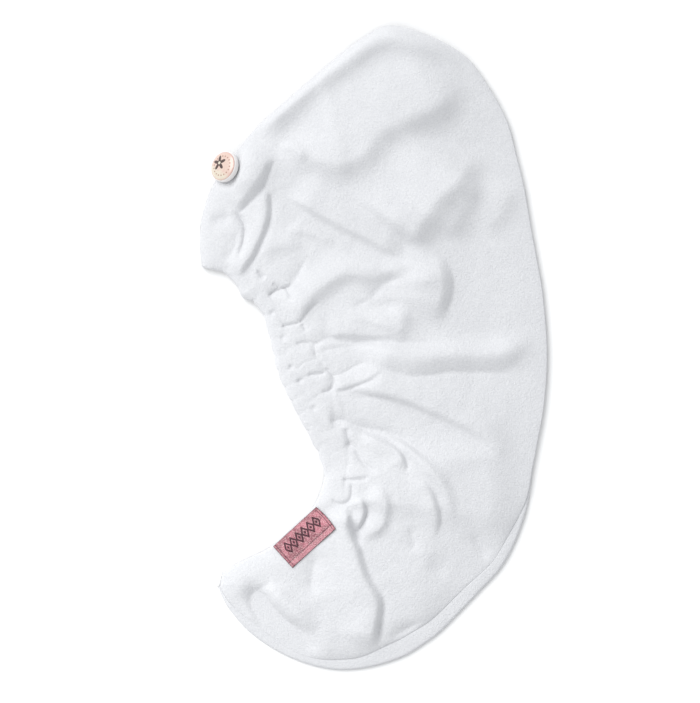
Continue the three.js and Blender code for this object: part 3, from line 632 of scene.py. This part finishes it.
def label_finish(label, colours):
    """Woven satin with painted glints of sparkling threads, a border, and a row of bold woven
    diamonds that stands between two bars, above the strip's fold, along which shade is painted."""
    finish = Finish("label_weave", Specular_IOR_Level=0.25)
    length, width = label.length / MM, label.width / MM
    rib = 0.8
    row_start, row_end, diamonds = 7.0, 51.8, 6
    row_middle, row_half = 11.0, 6.2
    bar, fold_line = 26.6, 22.9

    u, v = finish.across()
    along, over = u * length, v * width
    grain = finish.noise(900, 3, 0.75)
    # Spots of painted highlight, standing in for the sparkle of the threads
    glints = finish.step(finish.noise(1700), 0.56, 0.64)
    patches = finish.step(finish.noise(110, 2, 0.5), 0.42, 0.6)
    ribs = finish.math("SINE", over * (2 * math.pi / rib)) * 0.5 + 0.5

    pitch = (row_end - row_start) / diamonds
    cell = abs(finish.math("PINGPONG", along - row_start, pitch) - pitch / 2) / (pitch / 2)
    middle = abs(over - row_middle) / row_half
    ring = 1 - finish.step(abs(cell + middle - 0.9), 0.2, 0.34)
    core = 1 - finish.step(cell * 0.9 + middle, 0.26, 0.4)
    inside = (along > row_start) * (along < row_end)
    bars = 1 - finish.step(abs(abs(along - 0.5 * length) - bar), 0.3, 0.6)
    motif = finish.clamp(ring * (middle < 1.1) * inside + core * inside + 0.7 * bars)
    edge = finish.math("MINIMUM", finish.math("MINIMUM", along, length - along),
                       finish.math("MINIMUM", over, width - over))
    border = 1 - finish.step(edge, 0.4, 1.0)
    # Painted shade: a dark line along the fold, where the folded strip steps up
    folded = 1 - finish.step(abs(over - fold_line), 0.3, 0.7)
    marks_and_fold_shade = finish.clamp(0.95 * motif + 0.7 * border + 0.75 * folded)

    strip = finish.step(over, fold_line - 0.4, fold_line + 1.1)
    woven = finish.step(0.75 * grain + 0.18 * ribs + 0.08 * strip, 0.4, 0.66)
    ground = finish.mix(patches, colours.label_deep, colours.label)
    ground = finish.mix(woven, ground, colours.label_light)
    # The motif, the border and the painted shade of the fold take the dark colour
    marked_with_fold_shade = finish.mix(marks_and_fold_shade, ground, colours.label_motif_and_fold_shade)
    # Painted highlights: bright glints over the weave, fewer on the motif
    colour = finish.mix(glints * (0.8 - 0.7 * motif), marked_with_fold_shade, colours.label_painted_glint)
    height = 0.5 * ribs + 0.9 * grain + 0.4 * motif
    return finish.show(colour, 0.55 - 0.25 * glints, height, strength=0.6, depth=0.0003)


def button_face_finish(colours):
    """Glossy enamel with a cream patch, a dark five-petal flower, a rose rim and brown dots."""
    finish = Finish("button_enamel", Coat_Roughness=0.08, Coat_Weight=0.6, Specular_IOR_Level=0.5)
    petals, flower_at = 5, 0.22
    dots, ring = 9, 0.68

    u, v = finish.across()
    x, y = u * 2 - 1, v * 2 - 1
    radius = finish.math("SQRT", x * x + y * y)
    cloudy = finish.noise(260, 2, 0.5)
    flower_x, flower_y = x + flower_at, y - flower_at
    reach = finish.math("SQRT", flower_x * flower_x + flower_y * flower_y)
    wave = finish.math("SINE", finish.math("ARCTAN2", flower_y, flower_x) * petals)
    flower = 1 - finish.step(reach - (0.36 + 0.17 * wave), -0.015, 0.015)
    heart = 1 - finish.step(reach, 0.09, 0.12)
    turn = finish.math("ARCTAN2", y, x) + math.pi
    bead = finish.math("PINGPONG", turn, math.pi / dots) * ring - 0.119
    dot = finish.math("SQRT", bead * bead + (radius - ring) * (radius - ring))
    dotted = 1 - finish.step(dot, 0.045, 0.07)
    rim = finish.step(radius, 0.88, 0.96)
    cream = finish.step(cloudy * 0.3 + 0.5 * (y * -0.8 - x * 0.5), 0.22, 0.42)

    face = finish.mix(cream, colours.button_peach, colours.button_cream)
    face = finish.mix(rim * 0.45, face, colours.button_rose)
    face = finish.mix(dotted * 0.75, face, colours.button_brown)
    face = finish.mix(flower, face, colours.button_dark)
    face = finish.mix(heart, face, colours.button_cream)
    height = flower * 0.4 + dotted * 0.4 + cloudy * 0.1
    return finish.show(face, 0.22 + 0.12 * cloudy, height, strength=0.3, depth=0.0001)


def button_base_finish(colours):
    finish = Finish("button_shell", Coat_Roughness=0.15, Coat_Weight=0.3)
    cloudy, specks = finish.noise(320, 3), finish.noise(2200)
    colour = finish.mix(cloudy, colours.button_white, colours.button_shade)
    height = 0.5 * cloudy + 0.2 * specks
    return finish.show(colour, 0.3 + 0.15 * specks, height, strength=0.15, depth=0.0002)


def thread_finish(name, colour, deep):
    finish = Finish(name, Sheen_Weight=0.2, Specular_IOR_Level=0.3)
    strands = finish.noise(1800, vector=finish.scaled(finish.where, (1, 1, 3)))
    shade = finish.mix(strands, deep, colour)
    return finish.show(shade, 0.7 + 0.2 * strands, strands, strength=0.4, depth=0.0001)


def colour(name, description, value):
    return FloatVectorProperty(
        name=name, description=description, default=value, size=3, min=0, max=1, subtype="COLOR",
    )


def length(name, description, value):
    return FloatProperty(
        name=name, description=description, default=value, min=0, precision=4, unit="LENGTH",
        subtype="DISTANCE",
    )


def angle(name, description, degrees):
    return FloatProperty(
        name=name, description=description, default=math.radians(degrees), unit="ROTATION",
        subtype="ANGLE",
    )


def amount(name, description, value, **more):
    return FloatProperty(name=name, description=description, default=value, min=0, **more)


class TowelCloth(bpy.types.PropertyGroup):
    """Sizes of the plush cloth and how it lies."""

    thickness: length("Cloth thickness", "Thickness of the plush cloth", 0.0024)
    roll_height: length("Roll height", "How high the upper panel rounds over at its seam", 0.0076)
    roll_reach: length("Roll reach", "How far in from the seam it rounds over", 0.005)
    shoulder: length("Shoulder", "Reach of the gentle rise past the roll", 0.018)
    loft: length("Loft", "Further rise towards the middle of the towel", 0.003)
    casing_width: length("Casing width", "Edge of the opening to the inner stitch line", 0.044)
    needle_line: length("Needle line", "Edge of the opening to the outer stitch line", 0.017)
    fold_share: amount("Fold height", "Height of the folds against those laid", 1.0, max=1.5,
                       subtype="FACTOR")


class TowelLabel(bpy.types.PropertyGroup):
    """Sizes and place of the woven label."""

    length: length("Label length", "Along its long side", 0.0585)
    width: length("Label width", "Across it", 0.029)
    thickness: length("Label thickness", "Thickness of the woven label", 0.0007)
    turn: angle("Label turn", "Angle of its long side from +X", 42.5)


class TowelButton(bpy.types.PropertyGroup):
    """Sizes and lean of the button."""

    radius: length("Button radius", "Radius of the base", 0.0155)
    base: length("Base thickness", "Thickness of the white base", 0.0076)
    dome: length("Dome", "Rise of the printed face above the base", 0.0024)
    tilt: angle("Button tilt", "How far the button leans over", 39)


class TowelColours(bpy.types.PropertyGroup):
    """Colours of the cloth, the label, the button and the thread."""

    cloth: colour("Cloth", "Tips of the pile", (0.718, 0.723, 0.74))
    cloth_deep: colour("Cloth, deep", "Between the tufts", (0.656, 0.661, 0.682))
    label: colour("Label", "Woven ground", (0.40, 0.12, 0.16))
    label_deep: colour("Label, deep", "Darker patches of the ground", (0.17, 0.04, 0.06))
    label_light: colour("Label, light", "Light threads", (0.62, 0.29, 0.33))
    # Also the painted shade along the label's fold
    label_motif_and_fold_shade: colour("Label, motif", "Woven motif and border", (0.035, 0.006, 0.014))
    # Painted highlight: the colour of the glints of the sparkling threads
    label_painted_glint: colour("Label, glints", "Sparkling threads", (0.85, 0.66, 0.64))
    button_white: colour("Button base", "Base of the button", (0.84, 0.82, 0.81))
    button_shade: colour("Button base, shade", "Cloudy parts of the base", (0.76, 0.73, 0.72))
    button_peach: colour("Button face", "Ground of the printed face", (0.62, 0.46, 0.395))
    button_cream: colour("Button cream", "Cream patch of the face", (0.62, 0.56, 0.46))
    button_rose: colour("Button rose", "Rim of the face", (0.60, 0.34, 0.30))
    button_brown: colour("Button dots", "Dots round the flower", (0.30, 0.13, 0.09))
    button_dark: colour("Button flower", "Flower on the face", (0.06, 0.03, 0.025))
    thread: colour("Thread", "Sewing thread", (0.70, 0.68, 0.66))
    thread_deep: colour("Thread, deep", "Between its strands", (0.52, 0.50, 0.48))


class TowelStudio(bpy.types.PropertyGroup):
    """Light and camera of the stage."""

    key: amount("Key light", "Strength of the key light", 2.0)
    fill: amount("Fill light", "Power of the light by the opening", 0.6, unit="POWER")
    ambient: amount("Ambient", "Strength of the light all round", 0.79)
    distance: length("Camera distance", "Height of the camera above the towel", 3.0)
    floor: colour("Floor", "Colour of the floor", (0.9, 0.9, 0.9))


def add_lamp(name, kind, spot, aim, **settings):
    """Adds a lamp at a spot, turned towards what it lights."""
    lamp = bpy.data.lights.new(name, kind)
    for setting, value in settings.items():
        setattr(lamp, setting, value)
    made = bpy.data.objects.new(name, lamp)
    made.location = spot
    made.rotation_euler = (Vector(aim) - made.location).to_track_quat("-Z", "Y").to_euler()
    bpy.context.scene.collection.objects.link(made)


class HAIRTOWEL_OT_stage(bpy.types.Operator):
    """Lay out the floor, the light and the camera"""

    bl_idname = "hairtowel.stage"
    bl_label = "Stage"

    def execute(self, context):
        studio = context.scene.hairtowel_studio
        half, low = 4.0, -0.0004
        corners = [(-half, -half, low), (half, -half, low), (half, half, low), (-half, half, low)]
        floor = smooth_object("floor", corners, [(0, 1, 2, 3)])
        finish = Finish("studio_floor", Specular_IOR_Level=0.1)
        shade = tuple(0.985 * part for part in studio.floor)
        tone = finish.mix(finish.noise(3, 2, 0.5), studio.floor, shade)
        floor.data.materials.append(finish.show(tone, 0.9))

        add_lamp("key", "SUN", (-1.42, 1.53, 1.75), (0, 0, 0),
                 energy=studio.key, angle=math.radians(42))
        add_lamp("fill", "AREA", (-0.44, -0.2, 0.46), (-0.05, -0.14, 0),
                 shape="DISK", size=0.35, energy=studio.fill)
        world = bpy.data.worlds.new("studio")
        world.use_nodes = True
        sky = world.node_tree.nodes["Background"]
        sky.inputs["Color"].default_value = (0.97, 0.985, 1, 1)
        sky.inputs["Strength"].default_value = studio.ambient
        context.scene.world = world
        context.scene.view_settings.view_transform = "Standard"

        frame_width, towel_middle = 0.700, 0.01
        data = bpy.data.cameras.new("camera")
        data.sensor_fit, data.sensor_width = "HORIZONTAL", 36
        data.lens = data.sensor_width * (studio.distance - towel_middle) / frame_width
        camera = bpy.data.objects.new("camera", data)
        camera.location = (-0.024, -0.0045, studio.distance)
        context.scene.collection.objects.link(camera)
        context.scene.camera = camera
        return {"FINISHED"}


class HAIRTOWEL_OT_upper_panel(bpy.types.Operator):
    """Build the upper panel with its folds and gathered casing"""

    bl_idname = "hairtowel.upper_panel"
    bl_label = "Upper panel"

    def execute(self, context):
        relief = Relief(context.scene.hairtowel_cloth)
        rows, columns = 440, 117
        first = [0, 0.25, 0.7, 1.4, 2.3, 3.4, *np.linspace(4.5, 52, 43)]
        last = [20, 17, 14, 11.5, 9, 7, 5.3, 4, 2.8, 1.9, 1.2, 0.7, 0.3, 0.1, 0]
        shares = np.linspace(0, 1, rows + 1)
        plan = plan_grid(rows, scalloped_inset(shares), first, columns, last)
        points = plan.reshape(-1, 2)
        top = relief.top(points)
        inward = relief.from_sewn(points)
        mouth, _ = nearest(opening_line, points)
        from_edge = np.linalg.norm(plan - plan[:, :1], axis=2).reshape(-1)
        banded = np.zeros(plan.shape[:2])
        banded[:, -len(last):] = band_share(band_width(shares))[:, None]

        # The casing is a folded hem, so the cloth is double there
        hem = smooth((50 - mouth) / 6) * smooth(inward / 30)
        thickness = relief.thickness * (1 + 1.2 * hem)
        thickness = np.minimum(thickness, top - relief.thickness - CLEARANCE)
        # The two sides close in a lip at the seam and in a round turn at the opening
        open_edge = smooth(inward / 8)
        sewn, rounded = quarter(inward / 0.4), quarter(from_edge / (1.2 + 4.2 * open_edge))
        cap = np.minimum(sewn, rounded)
        lifted = 0.5 * open_edge * (1 - cap) + 0.96 * banded.reshape(-1) * (1 - sewn)
        below = top - thickness + thickness * lifted
        panel = sheet_between("plush_upper", plan, below + cap * thickness, below, step=4)
        place(
            panel, plush_finish(context.scene.hairtowel_colours), "plush_cloth",
            "upper_corner", "upper_panel", "upper_tail", "upper_rim",
        )
        return {"FINISHED"}


class HAIRTOWEL_OT_lower_panel(bpy.types.Operator):
    """Build the lower panel with its rolled band"""

    bl_idname = "hairtowel.lower_panel"
    bl_label = "Lower panel"

    def execute(self, context):
        thickness = context.scene.hairtowel_cloth.thickness / MM
        rows, columns, inset = 330, 20, 2
        first = [0, 0.3, 0.8, 1.5, *np.linspace(3, 53, 22)]
        inside = plan_grid(rows, inset, first, columns, [12, 6, 2, 0.8, 0])
        shares = np.linspace(0, 1, rows + 1)
        width = band_width(shares)
        k = np.array([0.04, 0.08, 0.15, 0.25, 0.4, 0.55, 0.68, 0.78, 0.86, 0.92, 0.96, 0.99, 1])
        band = np.stack([inside_seam(shares, (1 - part) * width) for part in k], 1)
        plan = np.concatenate([inside, band], 1)
        points = plan.reshape(-1, 2)
        outline = nearest(seam.at(SEAM_SHARES), points)[0]
        inner_edge = nearest(inner_line, points)[0]
        edge = np.minimum(outline, inner_edge)
        mouth, along = nearest(opening_line, points)

        # The underside: it waves, and is drawn up at the stitch lines and the seam allowance
        line = np.stack([along * opening_length, np.zeros_like(along)], -1)
        waves = 0.3 * ripples(points, 46, 21) + 0.2 * ripples(points, 19, 22)
        pinch = ripples(line, 8, 23) * bell(mouth / CASING_FOOT) * 0.45
        stitches = sum(0.5 * bell((mouth - foot) / 1.6) for foot in (NEEDLE_FOOT, CASING_FOOT))
        allowance = 0.35 * bell((edge - 9) / 2.0)
        lift = np.clip(0.25 + waves + pinch + stitches + allowance, 0, 1.2)
        below = lift * quarter(edge / 14) + 0.4 * (1 - quarter(edge / 1.6))

        # The top: flat inside the seam, rolled up in the band, and rounded at all its edges
        roll = 2.36
        banded = band_share(width)[:, None]
        rise = np.zeros(plan.shape[:2])
        rise[:, inside.shape[1] - 2:inside.shape[1]] = banded * (0.6, roll)
        rise[:, inside.shape[1]:] = banded * (roll + 0.2 * quarter(k / 0.15) - 1.3 * k ** 2)
        flat = thickness + 0.15 * ripples(points, 30, 24) * quarter(edge / 20)
        turned_in = below + (flat - below) * quarter(inner_edge / 3.4)
        above = np.where(mouth < 5, turned_in, flat) + rise.reshape(-1)
        above = below + np.maximum(above - below, 0) * quarter(outline / 1.9)
        panel = sheet_between("plush_lower", plan, above, below)
        finish = bpy.data.objects["plush_upper"].data.materials[0]
        place(panel, finish, "plush_cloth", "lower_panel", "lower_rim")
        return {"FINISHED"}


class HAIRTOWEL_OT_label(bpy.types.Operator):
    """Build the woven label and its stitches"""

    bl_idname = "hairtowel.label"
    bl_label = "Label"

    def execute(self, context):
        label, colours = context.scene.hairtowel_label, context.scene.hairtowel_colours
        relief = Relief(context.scene.hairtowel_cloth)
        long, wide, thickness = label.length / MM, label.width / MM, label.thickness / MM
        columns, rows = 117, 58
        a, b = np.meshgrid(np.linspace(0, long, columns + 1), np.linspace(0, wide, rows + 1))
        way = np.array([math.cos(label.turn), math.sin(label.turn)])
        side = np.array([math.sin(label.turn), -math.cos(label.turn)])
        corner, bow, stiffness = np.array([-101, -199.5]), 1.3, 2.4
        bowed = a + bow * (a / long) ** 3 * (1 - (2 * b / wide - 1) ** 2)
        plan = corner + bowed[..., None] * way + b[..., None] * side

        # It bridges the finest relief of the cloth that it lies on
        spots = [plan + (i * way + j * side) * stiffness for i in (-1, 0, 1) for j in (-1, 0, 1)]
        heights = [relief.top(spot.reshape(-1, 2)).reshape(a.shape) for spot in spots]
        bed = softened(np.max(heights, axis=0), 4) + 0.35
        folded = 0.3 * smooth((b - (wide - 6.5)) / 0.8)
        rim = np.minimum(np.minimum(a, long - a), np.minimum(b, wide - b))
        above = bed + (thickness + folded) * quarter((rim + 0.02) / 0.5)
        below = np.where(rim < 1e-6, above, bed)
        piece = sheet_between("woven_label", plan, above, below)
        give_map(piece, np.dstack([a / long, b / wide]))
        place(piece, label_finish(label, colours), "woven_label", "label")
        stitches = self.stitches(plan, above, rows, columns)
        place(
            stitches, thread_finish("label_thread", colours.label_light, colours.label_deep),
            "woven_label",
        )
        return {"FINISHED"}

    def stitches(self, plan, above, rows, columns):
        """Short stitches along the two ends and the upper long side, lying on the label."""
        runs = [
            ([(row, 3) for row in range(2, rows - 2, 4)], (2, 0)),
            ([(row, columns - 3) for row in range(2, rows - 2, 4)], (2, 0)),
            ([(3, column) for column in range(5, columns - 5, 5)], (0, 3)),
        ]
        radius, sunk = 0.2, 0.08
        points, faces = [], []
        for run, (down, across) in runs:
            for row, column in run:
                ends = [
                    Vector((*plan[r, c], above[r, c] + radius - sunk))
                    for r, c in ((row, column), (row + down, column + across))
                ]
                add_strand(points, faces, stitch(*ends, radius))
        return smooth_object("label_stitches", np.array(points) * MM, faces)


class HAIRTOWEL_OT_button(bpy.types.Operator):
    """Build the button's base, printed face and thread shank"""

    bl_idname = "hairtowel.button"
    bl_label = "Button"

    def execute(self, context):
        button, colours = context.scene.hairtowel_button, context.scene.hairtowel_colours
        r, h, dome = button.radius / MM, button.base / MM, button.dome / MM
        sides, seat, above_seat = 96, Vector((-149.5, 180, 13.6)), 2
        lean = Vector((-0.93, 0.36)).normalized() * math.sin(button.tilt)
        axis = Vector((lean.x, lean.y, math.cos(button.tilt)))
        stand = Matrix.Translation(seat - axis * (h - above_seat))
        stand = stand @ Vector((0, 0, 1)).rotation_difference(axis).to_matrix().to_4x4()

        shares = [
            (0, 0), (0.3, 0), (0.7, 0), (0.84, 0.02), (0.91, 0.08), (0.96, 0.2), (0.99, 0.4),
            (1, 0.62), (0.995, 0.82), (0.98, 0.93), (0.955, 1), (0.93, 1.02), (0.5, 1), (0, 1),
        ]
        base = turned("button_body", [(a * r, b * h) for a, b in shares], sides, stand)
        place(base, button_base_finish(colours), "button_white", "button_base")

        low, rim, face_r = h + 0.1, h + 0.22, 0.95 * r
        arc = [math.radians(10 * step) for step in range(1, 9)]
        profile = [(0, low), (0.97 * face_r, low), (face_r, rim)]
        profile += [(face_r * math.cos(t), rim + dome * math.sin(t)) for t in arc]
        profile += [(0.08 * face_r, rim + 0.998 * dome), (0, rim + dome)]
        face = turned("button_print", profile, sides, stand, face_r)
        place(face, button_face_finish(colours), "button_peach", "button_face")

        lowest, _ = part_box("button_thread")
        deep = (stand.translation.z - lowest.z / MM) / axis.z + 0.4
        thread = thread_finish("shank_thread", colours.thread, colours.thread_deep)
        place(self.shank(deep, stand), thread, "sewing_thread", "button_thread")
        return {"FINISHED"}

    def shank(self, deep, stand):
        """A thread wound round its own strands, from the button's back into the cloth."""
        turns, sides, steps = 5, 8, 120
        coil, radius = 1.05, 0.5
        up = Vector((0, 0, 1))
        rings = []
        for i in range(steps + 1):
            turn = 2 * math.pi * turns * i / steps
            out = Vector((math.cos(turn), math.sin(turn), 0))
            centre = coil * out - deep * i / steps * up
            rings.append([stand @ (centre + radius * (c * out - s * up)) for c, s in circle(sides)])
        points, faces = [], []
        add_strand(points, faces, rings)
        return smooth_object("button_shank", np.array(points) * MM, faces)


def softened(grid, times):
    """A grid of heights after a few passes of a small blur."""
    for _ in range(times):
        wide = np.pad(grid, 1, mode="edge")
        cross = wide[:-2, 1:-1] + wide[2:, 1:-1] + wide[1:-1, :-2] + wide[1:-1, 2:]
        grid = 0.5 * grid + 0.125 * cross
    return grid


def give_map(piece, spots):
    """Gives a sheet its own map from its grid; the underside inside the rim takes the same one."""
    flat = [tuple(spot) for spot in spots.reshape(-1, 2)]
    flat += [tuple(spot) for spot in spots[1:-1, 1:-1].reshape(-1, 2)]
    layer = piece.data.uv_layers.new(name="map")
    for loop in piece.data.loops:
        layer.data[loop.index].uv = flat[loop.vertex_index]


def circle(sides):
    """Cosines and sines of even steps round a circle."""
    turns = [2 * math.pi * k / sides for k in range(sides)]
    return [(math.cos(turn), math.sin(turn)) for turn in turns]


def add_strand(points, faces, rings):
    """Adds one closed strand from its rings of points, which turn to the left along it."""
    first, sides = len(points), len(rings[0])
    points += [tuple(point) for ring in rings for point in ring]
    for a in range(first, len(points) - sides, sides):
        for k in range(sides):
            b = a + (k + 1) % sides
            faces.append((a + k, b, b + sides, a + k + sides))
    faces.append(tuple(reversed(range(first, first + sides))))
    faces.append(tuple(range(len(points) - sides, len(points))))


def stitch(start, end, radius):
    """Rings of one stitch with tapered ends, arched over the cloth."""
    way = (end - start).normalized()
    side = way.cross(Vector((0, 0, 1))).normalized()
    up = side.cross(way)
    rings = []
    for along, size in [(0, 0.35), (0.2, 0.9), (0.5, 1), (0.8, 0.9), (1, 0.35)]:
        middle = start.lerp(end, along) + up * radius * 0.6 * math.sin(math.pi * along)
        rings.append([middle + size * radius * (c * side - s * up) for c, s in circle(6)])
    return rings


def turned(name, profile, sides, stand, map_radius=None):
    """A closed turned piece from pairs of radius and height, whose first and last radius is 0."""
    points = [Vector((0, 0, profile[0][1]))]
    for radius, height in profile[1:-1]:
        points += [Vector((radius * c, radius * s, height)) for c, s in circle(sides)]
    points.append(Vector((0, 0, profile[-1][1])))
    rings = len(profile) - 2
    top = 1 + (rings - 1) * sides
    faces = []
    for k in range(sides):
        after = (k + 1) % sides
        faces.append((0, 1 + after, 1 + k))
        faces.append((top + k, top + after, len(points) - 1))
        for a in range(1, top, sides):
            faces.append((a + k, a + after, a + sides + after, a + sides + k))
    stood = [tuple(stand @ point) for point in points]
    piece = smooth_object(name, np.array(stood) * MM, faces)
    if map_radius:
        layer = piece.data.uv_layers.new(name="map")
        for loop in piece.data.loops:
            spot = points[loop.vertex_index].xy / map_radius
            layer.data[loop.index].uv = (0.5 + 0.5 * spot.x, 0.5 + 0.5 * spot.y)
    return piece


OPERATORS = [
    HAIRTOWEL_OT_stage,
    HAIRTOWEL_OT_upper_panel,
    HAIRTOWEL_OT_lower_panel,
    HAIRTOWEL_OT_label,
    HAIRTOWEL_OT_button,
]
GROUPS = {
    "hairtowel_cloth": TowelCloth,
    "hairtowel_label": TowelLabel,
    "hairtowel_button": TowelButton,
    "hairtowel_colours": TowelColours,
    "hairtowel_studio": TowelStudio,
}


class HAIRTOWEL_PT_sidebar(bpy.types.Panel):
    """Sizes, colours and pieces of the hair towel"""

    bl_idname = "HAIRTOWEL_PT_sidebar"
    bl_label = "Hair towel"
    bl_space_type = "VIEW_3D"
    bl_region_type = "UI"
    bl_category = "Hair towel"

    def draw(self, context):
        for name, group in GROUPS.items():
            box = self.layout.box()
            box.label(text=name.split("_")[1].capitalize())
            for setting in group.__annotations__:
                box.prop(getattr(context.scene, name), setting)
        for operator in OPERATORS:
            self.layout.operator(operator.bl_idname)


def register():
    for made in [*GROUPS.values(), *OPERATORS, HAIRTOWEL_PT_sidebar]:
        bpy.utils.register_class(made)
    for name, group in GROUPS.items():
        setattr(bpy.types.Scene, name, PointerProperty(type=group))


def unregister():
    for name in GROUPS:
        delattr(bpy.types.Scene, name)
    for made in reversed([*GROUPS.values(), *OPERATORS, HAIRTOWEL_PT_sidebar]):
        bpy.utils.unregister_class(made)


def main():
    register()
    bpy.ops.hairtowel.stage()
    bpy.ops.hairtowel.upper_panel()
    bpy.ops.hairtowel.lower_panel()
    bpy.ops.hairtowel.label()
    bpy.ops.hairtowel.button()


if __name__ == "__main__":
    main()
